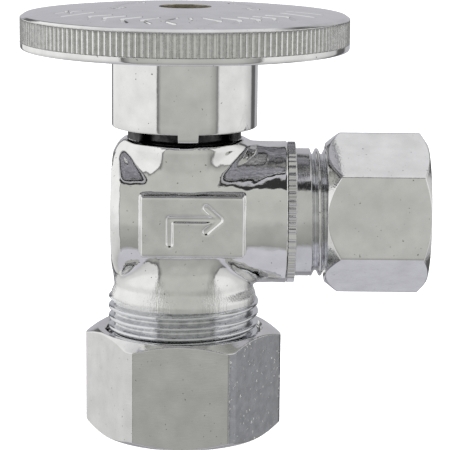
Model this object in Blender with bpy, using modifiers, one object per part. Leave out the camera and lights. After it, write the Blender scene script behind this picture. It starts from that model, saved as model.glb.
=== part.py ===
"""Quarter-turn angle stop valve with compression ends, in metres.

The origin is the middle of the inlet nut's lower face, on the axis that the inlet and the
stem share. +Z runs up that axis to the handle, and the outlet runs along +X. The handle is
half way between open and closed, with its stop lug in the middle of the body's notch.
"""

import math

import bmesh
import bpy
from mathutils import Matrix

# Driving dimensions
OUTLET_HEIGHT = 0.0305
PIPE_DIAMETER = 0.01588
TUBE_DIAMETER = 0.0127
INLET_THREAD_DIAMETER = 0.02064
INLET_THREAD_PITCH = 0.001411
OUTLET_THREAD_DIAMETER = 0.01746
OUTLET_THREAD_PITCH = 0.00127
INLET_NUT_FLATS = 0.02381
OUTLET_NUT_FLATS = 0.01905
HANDLE_DIAMETER = 0.0443
HANDLE_TOP = 0.0584
BALL_DIAMETER = 0.0130
PORT_DIAMETER = 0.0068
QUARTER_TURN = math.radians(90)

# Fits
GAP = 0.0003
THREAD_CLEARANCE = 0.00023
SLIP = 0.00016
MERGE_DISTANCE = 0.000001

# Facets around a turned piece
COARSE = 24
FINE = 40
HANDLE_FACETS = 60

# Body
BARREL_RADIUS = 0.00975
BARREL_BACK = -0.0099
BARREL_MOUTH = 0.0140
BARREL_FILLET = 0.0013
BOSS_RADIUS = 0.0097
NECK_RADIUS = 0.0086
SHOULDER_HEIGHT = 0.04065
SHOULDER_CHAMFER = 0.00025
TOWER_RADIUS = 0.0062
TOWER_TOP = 0.0470
BODY_END = 0.0065
THREAD_TOP = 0.0182
THREAD_DEPTH_PER_PITCH = 0.61
PIPE_STOP = 0.0185
INLET_WATERWAY_RADIUS = 0.0050
CHAMBER_RADIUS = 0.0073
CHAMBER_BACK = -0.0079
ADAPTER_BORE_RADIUS = 0.0080
ADAPTER_BORE_START = 0.0072
MOUTH_CONE = 0.0008
RIM_INNER_RADIUS = 0.0069
RIM_OUTER_RADIUS = 0.0077
RIM_TOP = 0.0424
BADGE_LEFT = -0.0056
BADGE_RIGHT = 0.0082
BADGE_BOTTOM = 0.0260
BADGE_TOP = 0.0344
BADGE_FACE = -0.0103
BADGE_CORNER = 0.0009

# Stem and its seals
STEM_BORE_RADIUS = 0.0040
STEM_RADIUS = STEM_BORE_RADIUS - GAP
STEM_COUNTERBORE_RADIUS = 0.0052
STEM_COUNTERBORE_TOP = 0.0398
STEM_HEAD_RADIUS = 0.0045
STEM_HEAD_TOP = 0.0385
STEM_GROOVE_RADIUS = 0.0025
STEM_GROOVE_FLOORS = (0.0406, 0.0432)
STEM_GROOVE_WIDTH = 0.0017
STEM_TOP = 0.0509
STEM_SQUARE = 0.0050
STEM_SQUARE_BOTTOM = 0.0472
STEM_TAPPED_BOTTOM = 0.0458
TAPPED_RADIUS = 0.0021
TANG_WIDTH = 0.0020
TANG_LENGTH = 0.0056
SLOT_DEPTH = 0.0024

# Ball seats, given for the outlet side
SEAT_BORE_RADIUS = 0.0041
SEAT_OUTER_RADIUS = 0.0066
SEAT_FRONT = 0.0043
SEAT_BACK = 0.0063
SEAT_CONE_RADIUS = 0.0056
SEAT_CONE_DEPTH = 0.00105

# Adapter
ADAPTER_NOSE = 0.0079
ADAPTER_SHANK_RADIUS = 0.0077
ADAPTER_GROOVE_START = 0.0089
ADAPTER_GROOVE_END = 0.0107
ADAPTER_GROOVE_RADIUS = 0.0063
SERRATED_COLLAR_RADIUS = 0.00964
SERRATED_COLLAR_START = 0.0143
SERRATED_COLLAR_END = 0.0152
PLAIN_COLLAR_END = 0.0169
OUTLET_THREAD_START = 0.01725
OUTLET_THREAD_TURNS = 9
OUTLET_WATERWAY_RADIUS = 0.0045
TUBE_STOP = 0.0170

# Handle
RIM_BOTTOM = 0.0528
RIM_EDGE_HEIGHT = 0.05735
DOME_DROP_HALF_WAY = 0.27
RIM_BEVEL = 0.0004
RIM_WALL = 0.0024
WEB_BOTTOM = 0.0544
SKIRT_RADIUS = 0.0099
SKIRT_BOTTOM = 0.0423
SKIRT_INNER_RADIUS = 0.0087
SKIRT_CEILING = 0.0498
HUB_RADIUS = 0.0056
HUB_BOTTOM = 0.0474
SOCKET_CEILING = 0.0512
RECESS_RADIUS = 0.0035
RECESS_FLOOR = 0.0530
SCREW_HOLE_RADIUS = 0.0023
LUG_CENTRE = math.radians(-90 + 4)
LUG_HALF_ANGLE = math.radians(8)
LUG_INNER_RADIUS = 0.0070
LUG_OUTER_RADIUS = 0.0097
LUG_BOTTOM = 0.0413
NOTCH_MARGIN = math.radians(1)

# Handle screw
WASHER_THICKNESS = 0.0006
WASHER_OUTER_RADIUS = 0.0031
WASHER_SPLIT = 0.0005
SCREW_HEAD_RADIUS = 0.0031
SCREW_HEAD_HEIGHT = 0.0022
SCREW_RADIUS = 0.00185
SCREW_END = 0.0464
RECESS_CROSS_LENGTH = 0.0034
RECESS_CROSS_WIDTH = 0.0008
RECESS_CROSS_DEPTH = 0.0013

# Compression ends, measured outwards from the end face that the sleeve is pressed into.
# A nut's chamfers are (height, width) at its inner and its outer end.
INLET_NUT_INNER_END = -0.0079
OUTLET_NUT_INNER_END = -0.00948
OUTLET_NUT_OUTER_END = 0.00432
INLET_NUT_SPIN = math.radians(31.1)
OUTLET_NUT_SPIN = math.radians(24.5)
INLET_NUT_CHAMFERS = ((0.00115, 0.0019), (0.00115, 0.0019))
OUTLET_NUT_CHAMFERS = ((0.0019, 0.0015), (0.00105, 0.0015))
CORNER_TRIM = 0.00014
NUT_MOUTH_CHAMFER = 0.0004
NUT_LIP_CLEARANCE = 0.0001
NUT_CONE_WIDTH = 0.00165
NUT_CONE_START = 0.0024
NUT_CONE_END = 0.0041
NUT_THREAD_RUNOUT = 0.0015
SLEEVE_INNER_END = -0.0002
SLEEVE_BAND_START = 0.0011
SLEEVE_BAND_END = 0.0021
SLEEVE_OUTER_END = 0.0034
SLEEVE_WALL = 0.0010
SLEEVE_END_WALL = 0.00042

REST_PORT_ANGLE = -QUARTER_TURN / 2
OUTLET_THREAD_END = OUTLET_THREAD_START + OUTLET_THREAD_TURNS * OUTLET_THREAD_PITCH

CHROME = (0.78, 0.78, 0.77, 1)
BRASS = (0.72, 0.53, 0.27, 1)
PTFE = (0.90, 0.90, 0.87, 1)
RUBBER = (0.03, 0.03, 0.03, 1)
STEEL = (0.55, 0.56, 0.57, 1)


def start_scene():
    """Empties the scene and makes the collections for the valve and for its cutters."""
    for old in list(bpy.data.objects):
        bpy.data.objects.remove(old)
    made = []
    for name in ("angle_stop_valve", "cutters"):
        collection = bpy.data.collections.new(name)
        bpy.context.scene.collection.children.link(collection)
        made.append(collection)
    return made


VALVE, CUTTERS = start_scene()
ALONG_OUTLET = Matrix.Translation((0, 0, OUTLET_HEIGHT)) @ Matrix.Rotation(math.radians(90), 4, "Y")


def material(name, colour, metallic, roughness):
    """A Principled BSDF material of one colour."""
    made = bpy.data.materials.new(name)
    made.use_nodes = True
    shader = made.node_tree.nodes["Principled BSDF"]
    shader.inputs["Base Color"].default_value = colour
    shader.inputs["Metallic"].default_value = metallic
    shader.inputs["Roughness"].default_value = roughness
    return made


def finish(piece, colour, metallic=1.0, roughness=0.2):
    """Gives a piece its own material and smooth shading."""
    piece.data.materials.append(material(piece.name + "_finish", colour, metallic, roughness))
    piece.data.shade_smooth()
    return piece


def add(name, mesh, place=None, collection=None):
    """Puts a mesh into the scene as an object."""
    made = bpy.data.objects.new(name, mesh)
    (collection or VALVE).objects.link(made)
    if place is not None:
        made.matrix_world = place
    return made


def as_cutter(piece):
    """Marks an object as a tool that shapes another one and is not a piece itself."""
    piece.hide_render = True
    piece.display_type = "WIRE"
    return piece


def combine(target, tool, operation):
    """Adds a Boolean modifier that joins, cuts or trims the target with a tool."""
    change = target.modifiers.new(tool.name, "BOOLEAN")
    change.object = as_cutter(tool)
    change.operation = operation
    change.solver = "EXACT"


def turned(name, profile, facets, place=None, collection=None, ring=True):
    """A turned shape: (radius, height) points that run down its outer side.

    A ring's profile is a closed loop clear of the axis; any other starts and ends on it.
    """
    mesh = bpy.data.meshes.new(name)
    count = len(profile)
    edges = [(i, i + 1) for i in range(count - 1)]
    if ring:
        edges.append((count - 1, 0))
    mesh.from_pydata([(radius, 0, height) for radius, height in profile], edges, [])
    made = add(name, mesh, place, collection)
    screw = made.modifiers.new("turn", "SCREW")
    screw.steps = facets
    screw.render_steps = facets
    screw.use_merge_vertices = True
    screw.merge_threshold = MERGE_DISTANCE
    return made


def rod(name, radius, bottom, top, facets=COARSE, place=None):
    """A solid round cutter from one height to another."""
    profile = [(0, top), (radius, top), (radius, bottom), (0, bottom)]
    return turned(name, profile, facets, place, CUTTERS, ring=False)


def block(name, size, centre, turn=0.0):
    """A box cutter, turned about its own vertical axis."""
    mesh = bpy.data.meshes.new(name)
    shape = bmesh.new()
    bmesh.ops.create_cube(shape, size=1, matrix=Matrix.Diagonal((*size, 1)))
    shape.to_mesh(mesh)
    shape.free()
    place = Matrix.Translation(centre) @ Matrix.Rotation(turn, 4, "Z")
    return add(name, mesh, place, CUTTERS)


def plate(name, outline, bottom, top):
    """A cutter raised from a flat outline, as a welded mesh."""
    curve = bpy.data.curves.new(name, "CURVE")
    curve.dimensions = "2D"
    curve.fill_mode = "BOTH"
    curve.extrude = (top - bottom) / 2
    spline = curve.splines.new("POLY")
    spline.points.add(len(outline) - 1)
    for point, (x, y) in zip(spline.points, outline):
        point.co = (x, y, 0, 1)
    spline.use_cyclic_u = True
    flat = add(name + "_outline", curve, Matrix.Translation((0, 0, (top + bottom) / 2)))
    bpy.context.view_layer.update()
    evaluated = flat.evaluated_get(bpy.context.evaluated_depsgraph_get())
    mesh = bpy.data.meshes.new_from_object(evaluated)
    shape = bmesh.new()
    shape.from_mesh(mesh)
    bmesh.ops.remove_doubles(shape, verts=shape.verts, dist=MERGE_DISTANCE)
    bmesh.ops.recalc_face_normals(shape, faces=shape.faces)
    shape.to_mesh(mesh)
    shape.free()
    made = add(name, mesh, flat.matrix_world.copy(), CUTTERS)
    bpy.data.objects.remove(flat)
    return made


def arc(centre, radius, start, end, points):
    """Points on an arc, from one angle in degrees to another."""
    made = []
    for i in range(points):
        angle = math.radians(start + (end - start) * i / (points - 1))
        made.append((centre[0] + radius * math.cos(angle), centre[1] + radius * math.sin(angle)))
    return made


def at_angle(radius, angle):
    """The point at a radius and an angle around the stem's axis."""
    return (radius * math.cos(angle), radius * math.sin(angle))


def thread_ridges(crest_radius, pitch, top, turns):
    """Profile points of a male thread's ridges, from the top groove to the bottom one."""
    root_radius = crest_radius - THREAD_DEPTH_PER_PITCH * pitch
    made = [(root_radius, top)]
    for turn in range(turns):
        made.append((crest_radius, top - (turn + 0.5) * pitch))
        made.append((root_radius, top - (turn + 1) * pitch))
    return made


def rounded_section(middle_radius, height, half_width, half_height, points=6):
    """The closed profile of an O-ring that is slightly pressed into its groove."""
    made = []
    for i in range(points):
        angle = math.radians(90 - 360 * i / points)
        made.append((middle_radius + half_width * math.cos(angle), height + half_height * math.sin(angle)))
    return made


def o_ring(name, inner_radius, outer_radius, height, half_height, place=None):
    """A rubber ring, given by the radii of the space that it fills."""
    middle = (inner_radius + outer_radius) / 2
    profile = rounded_section(middle, height, (outer_radius - inner_radius) / 2, half_height)
    return finish(turned(name, profile, COARSE, place), RUBBER, 0.0, 0.6)


def make_valve_body():
    """The forged body: barrel along X, column along Z, with every bore cut in it."""
    barrel = [(0, BARREL_MOUTH), (BARREL_RADIUS, BARREL_MOUTH)]
    fillet_centre = (BARREL_RADIUS - BARREL_FILLET, BARREL_BACK + BARREL_FILLET)
    barrel += arc(fillet_centre, BARREL_FILLET, 0, -90, 5)
    barrel.append((0, BARREL_BACK))
    body = turned("valve_body", barrel, FINE, ALONG_OUTLET, ring=False)

    turns = int((THREAD_TOP - BODY_END) / INLET_THREAD_PITCH)
    column = [
        (0, TOWER_TOP),
        (TOWER_RADIUS - GAP, TOWER_TOP),
        (TOWER_RADIUS, TOWER_TOP - GAP),
        (TOWER_RADIUS, SHOULDER_HEIGHT),
        (NECK_RADIUS - SHOULDER_CHAMFER, SHOULDER_HEIGHT),
        (NECK_RADIUS, SHOULDER_HEIGHT - SHOULDER_CHAMFER),
        (NECK_RADIUS, OUTLET_HEIGHT),
        (BOSS_RADIUS, OUTLET_HEIGHT - GAP),
        (BOSS_RADIUS, THREAD_TOP + GAP),
        *thread_ridges(INLET_THREAD_DIAMETER / 2, INLET_THREAD_PITCH, THREAD_TOP, turns),
    ]
    column.append((column[-1][0], BODY_END))
    column.append((0, BODY_END))
    combine(body, turned("column", column, FINE, None, CUTTERS, ring=False), "UNION")

    badge_size = (BADGE_RIGHT - BADGE_LEFT, -BADGE_FACE, BADGE_TOP - BADGE_BOTTOM)
    badge_centre = ((BADGE_RIGHT + BADGE_LEFT) / 2, BADGE_FACE / 2, (BADGE_TOP + BADGE_BOTTOM) / 2)
    badge = block("badge", badge_size, badge_centre)
    rounding = badge.modifiers.new("round", "BEVEL")
    rounding.width = BADGE_CORNER
    rounding.segments = 2
    combine(body, badge, "UNION")

    combine(body, make_stop_rim(), "UNION")
    for bore in body_bores():
        combine(body, bore, "DIFFERENCE")
    return finish(body, CHROME)


def make_stop_rim():
    """The rim that stops the handle's lug, open over the lug's quarter turn."""
    bottom = SHOULDER_HEIGHT - 2 * GAP
    profile = [
        (RIM_INNER_RADIUS, RIM_TOP),
        (RIM_OUTER_RADIUS - GAP, RIM_TOP),
        (RIM_OUTER_RADIUS, RIM_TOP - GAP),
        (RIM_OUTER_RADIUS, bottom),
        (RIM_INNER_RADIUS, bottom),
    ]
    rim = turned("stop_rim", profile, FINE, None, CUTTERS)
    half = QUARTER_TURN / 2 + LUG_HALF_ANGLE + NOTCH_MARGIN
    reach = 3 * NECK_RADIUS
    wedge = [(0, 0), at_angle(reach, LUG_CENTRE - half), at_angle(reach, LUG_CENTRE + half)]
    combine(rim, plate("notch", wedge, bottom - GAP, RIM_TOP + GAP), "DIFFERENCE")
    return rim


def body_bores():
    """Cutters for the chamber, the adapter's bore, the inlet and the stem's bores."""
    past = 0.001
    socket_radius = PIPE_DIAMETER / 2 + SLIP
    cone = [
        (0, BODY_END + MOUTH_CONE),
        (socket_radius, BODY_END + MOUTH_CONE),
        (socket_radius + MOUTH_CONE + past, BODY_END - past),
        (0, BODY_END - past),
    ]
    return [
        rod("chamber", CHAMBER_RADIUS, CHAMBER_BACK, BARREL_MOUTH + past, FINE, ALONG_OUTLET),
        rod("adapter_bore", ADAPTER_BORE_RADIUS, ADAPTER_BORE_START, BARREL_MOUTH + past, FINE, ALONG_OUTLET),
        rod("inlet_socket", socket_radius, BODY_END - past, PIPE_STOP, FINE),
        turned("inlet_mouth", cone, FINE, None, CUTTERS, ring=False),
        rod("inlet_waterway", INLET_WATERWAY_RADIUS, PIPE_STOP - past, OUTLET_HEIGHT),
        rod("stem_counterbore", STEM_COUNTERBORE_RADIUS, OUTLET_HEIGHT, STEM_COUNTERBORE_TOP),
        rod("stem_bore", STEM_BORE_RADIUS, OUTLET_HEIGHT, TOWER_TOP + past),
    ]


def make_outlet_adapter():
    """The turned end that is pressed into the barrel and holds the ball and seats in."""
    end = OUTLET_THREAD_END
    socket_radius = TUBE_DIAMETER / 2 + SLIP
    plain_radius = OUTLET_THREAD_DIAMETER / 2
    profile = [
        (socket_radius + MOUTH_CONE, end),
        *thread_ridges(plain_radius, OUTLET_THREAD_PITCH, end, OUTLET_THREAD_TURNS),
        (plain_radius, PLAIN_COLLAR_END),
        (plain_radius, SERRATED_COLLAR_END),
        (SERRATED_COLLAR_RADIUS, SERRATED_COLLAR_END),
        (SERRATED_COLLAR_RADIUS, SERRATED_COLLAR_START),
        (ADAPTER_SHANK_RADIUS, SERRATED_COLLAR_START),
        (ADAPTER_SHANK_RADIUS, ADAPTER_GROOVE_END),
        (ADAPTER_GROOVE_RADIUS, ADAPTER_GROOVE_END),
        (ADAPTER_GROOVE_RADIUS, ADAPTER_GROOVE_START),
        (ADAPTER_SHANK_RADIUS, ADAPTER_GROOVE_START),
        (ADAPTER_SHANK_RADIUS, ADAPTER_NOSE),
        (OUTLET_WATERWAY_RADIUS, ADAPTER_NOSE),
        (OUTLET_WATERWAY_RADIUS, TUBE_STOP),
        (socket_radius, TUBE_STOP),
        (socket_radius, end - MOUTH_CONE),
    ]
    return finish(turned("outlet_adapter", profile, FINE, ALONG_OUTLET), CHROME)


def make_adapter_seal_ring():
    """The O-ring in the groove near the adapter's nose."""
    middle = (ADAPTER_GROOVE_START + ADAPTER_GROOVE_END) / 2
    inner = ADAPTER_GROOVE_RADIUS + GAP
    outer = ADAPTER_BORE_RADIUS - GAP / 2
    half_height = (ADAPTER_GROOVE_END - ADAPTER_GROOVE_START) / 2 - GAP
    return o_ring("adapter_seal_ring", inner, outer, middle, half_height, ALONG_OUTLET)


def make_ball():
    """The ball, with an L-shaped port and a slot that the stem's tang drives."""
    radius = BALL_DIAMETER / 2
    mesh = bpy.data.meshes.new("ball")
    shape = bmesh.new()
    bmesh.ops.create_uvsphere(shape, u_segments=COARSE, v_segments=COARSE // 2, radius=radius)
    shape.to_mesh(mesh)
    shape.free()
    turn = Matrix.Rotation(REST_PORT_ANGLE, 4, "Z")
    ball = add("ball", mesh, Matrix.Translation((0, 0, OUTLET_HEIGHT)) @ turn)
    past = radius + 0.001
    port_radius = PORT_DIAMETER / 2
    down = ball.matrix_world.copy()
    sideways = down @ Matrix.Rotation(math.radians(90), 4, "Y")
    combine(ball, rod("port_down", port_radius, -past, port_radius / 2, COARSE, down), "DIFFERENCE")
    combine(ball, rod("port_out", port_radius, -port_radius / 2, past, COARSE, sideways), "DIFFERENCE")
    slot_size = (BALL_DIAMETER, TANG_WIDTH + 2 * GAP, 2 * SLOT_DEPTH)
    slot = block("ball_slot", slot_size, (0, 0, OUTLET_HEIGHT + radius), REST_PORT_ANGLE)
    combine(ball, slot, "DIFFERENCE")
    return finish(ball, CHROME, roughness=0.08)


def make_seats():
    """The two seats around the ball and the rubber rings behind them."""
    for side, name in ((0, "outlet"), (180, "back")):
        place = ALONG_OUTLET @ Matrix.Rotation(math.radians(side), 4, "Y")
        profile = [
            (SEAT_BORE_RADIUS, SEAT_BACK),
            (SEAT_OUTER_RADIUS, SEAT_BACK),
            (SEAT_OUTER_RADIUS, SEAT_FRONT),
            (SEAT_CONE_RADIUS, SEAT_FRONT),
            (SEAT_BORE_RADIUS, SEAT_FRONT + SEAT_CONE_DEPTH),
        ]
        finish(turned(name + "_seat", profile, COARSE, place), PTFE, 0.0, 0.35)
        half = (ADAPTER_NOSE - SEAT_BACK) / 2 - GAP
        middle = (ADAPTER_NOSE + SEAT_BACK) / 2
        o_ring(name + "_seat_o_ring", SEAT_BORE_RADIUS + 2 * GAP, SEAT_OUTER_RADIUS, middle, half, place)


def make_stem():
    """The stem: tang, head, two grooves, and a square end that is tapped for the screw."""
    ball_top = OUTLET_HEIGHT + BALL_DIAMETER / 2
    head_bottom = ball_top + GAP
    profile = [(0, STEM_SQUARE_BOTTOM), (STEM_RADIUS, STEM_SQUARE_BOTTOM)]
    for floor in reversed(STEM_GROOVE_FLOORS):
        top = floor + STEM_GROOVE_WIDTH
        profile += [(STEM_RADIUS, top), (STEM_GROOVE_RADIUS, top)]
        profile += [(STEM_GROOVE_RADIUS, floor), (STEM_RADIUS, floor)]
    profile += [
        (STEM_RADIUS, STEM_HEAD_TOP),
        (STEM_HEAD_RADIUS, STEM_HEAD_TOP),
        (STEM_HEAD_RADIUS, head_bottom),
        (0, head_bottom),
    ]
    stem = turned("stem", profile, COARSE, ring=False)
    inside = 0.001
    square_height = STEM_TOP - STEM_SQUARE_BOTTOM + inside
    square_size = (STEM_SQUARE, STEM_SQUARE, square_height)
    square = block("stem_square", square_size, (0, 0, STEM_TOP - square_height / 2), REST_PORT_ANGLE)
    combine(stem, square, "UNION")
    tang_bottom = ball_top - SLOT_DEPTH + GAP
    tang_height = head_bottom - tang_bottom + inside
    tang_size = (TANG_LENGTH, TANG_WIDTH, tang_height)
    tang = block("stem_tang", tang_size, (0, 0, tang_bottom + tang_height / 2), REST_PORT_ANGLE)
    combine(stem, tang, "UNION")
    combine(stem, rod("tapped_hole", TAPPED_RADIUS, STEM_TAPPED_BOTTOM, STEM_TOP + inside), "DIFFERENCE")
    return finish(stem, BRASS, roughness=0.3)


def make_stem_seals():
    """The thrust washer on the stem's head and the O-rings in its two grooves."""
    washer_bottom = STEM_HEAD_TOP + GAP
    washer_top = STEM_COUNTERBORE_TOP - GAP
    profile = [
        (STEM_BORE_RADIUS, washer_top),
        (STEM_COUNTERBORE_RADIUS - GAP, washer_top),
        (STEM_COUNTERBORE_RADIUS - GAP, washer_bottom),
        (STEM_BORE_RADIUS, washer_bottom),
    ]
    finish(turned("stem_thrust_washer", profile, COARSE), PTFE, 0.0, 0.35)
    for name, floor in zip(("lower", "upper"), STEM_GROOVE_FLOORS):
        inner = STEM_GROOVE_RADIUS + GAP
        outer = STEM_BORE_RADIUS - GAP / 2
        half = STEM_GROOVE_WIDTH / 2 - GAP
        o_ring("stem_o_ring_" + name, inner, outer, floor + STEM_GROOVE_WIDTH / 2, half)


def make_handle():
    """The round handle: domed top, rim, hollow skirt with a hub inside, and the stop lug."""
    rim = HANDLE_DIAMETER / 2
    profile = [
        (RECESS_RADIUS, HANDLE_TOP),
        (rim / 2, HANDLE_TOP - (HANDLE_TOP - RIM_EDGE_HEIGHT) * DOME_DROP_HALF_WAY),
        (rim - RIM_BEVEL, RIM_EDGE_HEIGHT),
        (rim, RIM_EDGE_HEIGHT - RIM_BEVEL),
        (rim, RIM_BOTTOM + RIM_BEVEL),
        (rim - RIM_BEVEL, RIM_BOTTOM),
        (rim - RIM_WALL, RIM_BOTTOM),
        (rim - RIM_WALL - RIM_BEVEL, WEB_BOTTOM),
        (SKIRT_RADIUS + 3 * RIM_BEVEL, WEB_BOTTOM),
        (SKIRT_RADIUS, WEB_BOTTOM - 3 * RIM_BEVEL),
        (SKIRT_RADIUS, SKIRT_BOTTOM + RIM_BEVEL),
        (SKIRT_RADIUS - RIM_BEVEL, SKIRT_BOTTOM),
        (SKIRT_INNER_RADIUS, SKIRT_BOTTOM),
        (SKIRT_INNER_RADIUS, SKIRT_CEILING),
        (HUB_RADIUS, SKIRT_CEILING),
        (HUB_RADIUS, HUB_BOTTOM),
        (SCREW_HOLE_RADIUS, HUB_BOTTOM),
        (SCREW_HOLE_RADIUS, RECESS_FLOOR),
        (RECESS_RADIUS, RECESS_FLOOR),
    ]
    handle = turned("handle", profile, HANDLE_FACETS)
    below = 0.001
    socket_height = SOCKET_CEILING - HUB_BOTTOM + below
    socket_size = (STEM_SQUARE + 2 * GAP, STEM_SQUARE + 2 * GAP, socket_height)
    socket = block("square_socket", socket_size, (0, 0, SOCKET_CEILING - socket_height / 2), REST_PORT_ANGLE)
    combine(handle, socket, "DIFFERENCE")
    combine(handle, make_stop_lug(), "UNION")
    return finish(handle, CHROME)


def make_stop_lug():
    """The lug that hangs from the skirt into the body's notch, with radial sides."""
    left = LUG_CENTRE - LUG_HALF_ANGLE
    right = LUG_CENTRE + LUG_HALF_ANGLE
    outline = [
        at_angle(LUG_INNER_RADIUS, left),
        at_angle(LUG_OUTER_RADIUS, left),
        at_angle(LUG_OUTER_RADIUS, right),
        at_angle(LUG_INNER_RADIUS, right),
    ]
    return plate("stop_lug", outline, LUG_BOTTOM, SKIRT_BOTTOM + 2 * RIM_BEVEL)


def make_handle_screw():
    """The screw in the handle's recess and the split washer under its head."""
    washer_bottom = RECESS_FLOOR + GAP
    washer_top = washer_bottom + WASHER_THICKNESS
    profile = [
        (SCREW_HOLE_RADIUS, washer_top),
        (WASHER_OUTER_RADIUS, washer_top),
        (WASHER_OUTER_RADIUS, washer_bottom),
        (SCREW_HOLE_RADIUS, washer_bottom),
    ]
    washer = turned("handle_screw_lock_washer", profile, COARSE)
    split_size = (2 * WASHER_OUTER_RADIUS, WASHER_SPLIT, 4 * WASHER_THICKNESS)
    split = block("washer_split", split_size, (WASHER_OUTER_RADIUS, 0, washer_bottom))
    combine(washer, split, "DIFFERENCE")
    finish(washer, STEEL, roughness=0.35)

    head_bottom = washer_top + GAP
    head_top = head_bottom + SCREW_HEAD_HEIGHT
    profile = [
        (0, head_top),
        (SCREW_HEAD_RADIUS / 2, head_top - GAP / 2),
        (SCREW_HEAD_RADIUS, head_top - 2 * GAP),
        (SCREW_HEAD_RADIUS, head_bottom),
        (SCREW_RADIUS, head_bottom),
        (SCREW_RADIUS, SCREW_END + 2 * GAP),
        (SCREW_RADIUS - 2 * GAP, SCREW_END),
        (0, SCREW_END),
    ]
    screw = turned("handle_screw", profile, COARSE, ring=False)
    for name, turn in (("cross_a", 0), ("cross_b", QUARTER_TURN)):
        size = (RECESS_CROSS_LENGTH, RECESS_CROSS_WIDTH, 2 * RECESS_CROSS_DEPTH)
        combine(screw, block(name, size, (0, 0, head_top), turn), "DIFFERENCE")
    return finish(screw, STEEL, roughness=0.3)


def make_compression_nut(name, flats, thread_diameter, pipe_diameter, ends, chamfers, spin, place):
    """A hexagon nut. Its own +Z points away from the fitting's end face at its zero.

    ends holds its inner and outer end, and chamfers their (height, width) at the corners.
    """
    inner_end, outer_end = ends
    corner = flats / math.sqrt(3)
    mesh = bpy.data.meshes.new(name)
    shape = bmesh.new()
    middle = Matrix.Translation((0, 0, (inner_end + outer_end) / 2))
    bmesh.ops.create_cone(
        shape,
        cap_ends=True,
        segments=6,
        radius1=corner,
        radius2=corner,
        depth=outer_end - inner_end,
        matrix=Matrix.Rotation(spin, 4, "Z") @ middle,
    )
    shape.to_mesh(mesh)
    shape.free()
    nut = add(name, mesh, place)

    past = 0.0005
    inner, outer = chamfers
    edge = corner - CORNER_TRIM
    inner_slope = inner[1] / inner[0]
    outer_slope = outer[1] / outer[0]
    trim = [
        (0, outer_end + past),
        (edge - outer[1] - past * outer_slope, outer_end + past),
        (edge, outer_end - outer[0]),
        (edge, inner_end + inner[0]),
        (edge - inner[1] - past * inner_slope, inner_end - past),
        (0, inner_end - past),
    ]
    combine(nut, turned(name + "_trim", trim, FINE, place, CUTTERS, ring=False), "INTERSECT")

    pipe = pipe_diameter / 2
    lip_radius = pipe + SLIP + NUT_LIP_CLEARANCE
    cone_radius = pipe + NUT_CONE_WIDTH
    bore_radius = thread_diameter / 2 + THREAD_CLEARANCE
    bore = [
        (0, outer_end + past),
        (lip_radius, outer_end + past),
        (lip_radius, NUT_CONE_END),
        (cone_radius, NUT_CONE_START),
        (cone_radius, NUT_THREAD_RUNOUT),
        (bore_radius, NUT_THREAD_RUNOUT),
        (bore_radius, inner_end + NUT_MOUTH_CHAMFER),
        (bore_radius + NUT_MOUTH_CHAMFER + past, inner_end - past),
        (0, inner_end - past),
    ]
    combine(nut, turned(name + "_bore", bore, FINE, place, CUTTERS, ring=False), "DIFFERENCE")
    return finish(nut, CHROME)


def make_sleeve(name, pipe_diameter, place):
    """A brass sleeve, thickest in the middle, that the nut presses onto the pipe."""
    inner_radius = pipe_diameter / 2 + SLIP / 2
    thin = inner_radius + SLEEVE_END_WALL
    thick = inner_radius + SLEEVE_WALL
    profile = [
        (inner_radius, SLEEVE_OUTER_END),
        (thin, SLEEVE_OUTER_END),
        (thick, SLEEVE_BAND_END),
        (thick, SLEEVE_BAND_START),
        (thin, SLEEVE_INNER_END),
        (inner_radius, SLEEVE_INNER_END),
    ]
    return finish(turned(name, profile, FINE, place), BRASS, roughness=0.25)


def make_compression_ends():
    """Both nuts with their sleeves, the inlet's facing down and the outlet's along +X."""
    inlet = Matrix.Translation((0, 0, BODY_END)) @ Matrix.Rotation(math.radians(180), 4, "X")
    outlet = ALONG_OUTLET @ Matrix.Translation((0, 0, OUTLET_THREAD_END))
    make_compression_nut(
        "inlet_nut",
        INLET_NUT_FLATS,
        INLET_THREAD_DIAMETER,
        PIPE_DIAMETER,
        (INLET_NUT_INNER_END, BODY_END),
        INLET_NUT_CHAMFERS,
        INLET_NUT_SPIN,
        inlet,
    )
    make_compression_nut(
        "outlet_nut",
        OUTLET_NUT_FLATS,
        OUTLET_THREAD_DIAMETER,
        TUBE_DIAMETER,
        (OUTLET_NUT_INNER_END, OUTLET_NUT_OUTER_END),
        OUTLET_NUT_CHAMFERS,
        OUTLET_NUT_SPIN,
        outlet,
    )
    make_sleeve("inlet_sleeve", PIPE_DIAMETER, inlet)
    make_sleeve("outlet_sleeve", TUBE_DIAMETER, outlet)


make_valve_body()
make_outlet_adapter()
make_adapter_seal_ring()
make_ball()
make_seats()
make_stem()
make_stem_seals()
make_handle()
make_handle_screw()
make_compression_ends()
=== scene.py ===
"""Looks of the angle stop valve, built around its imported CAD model.

Shapes are worked out in millimetres and become metres in mesh_object. Turned pieces are polar
grids whose radius is shaped by a formula. The forged body is the zero surface of a distance
function, so that its parts run into each other with cast fillets.
"""

import math

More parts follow.
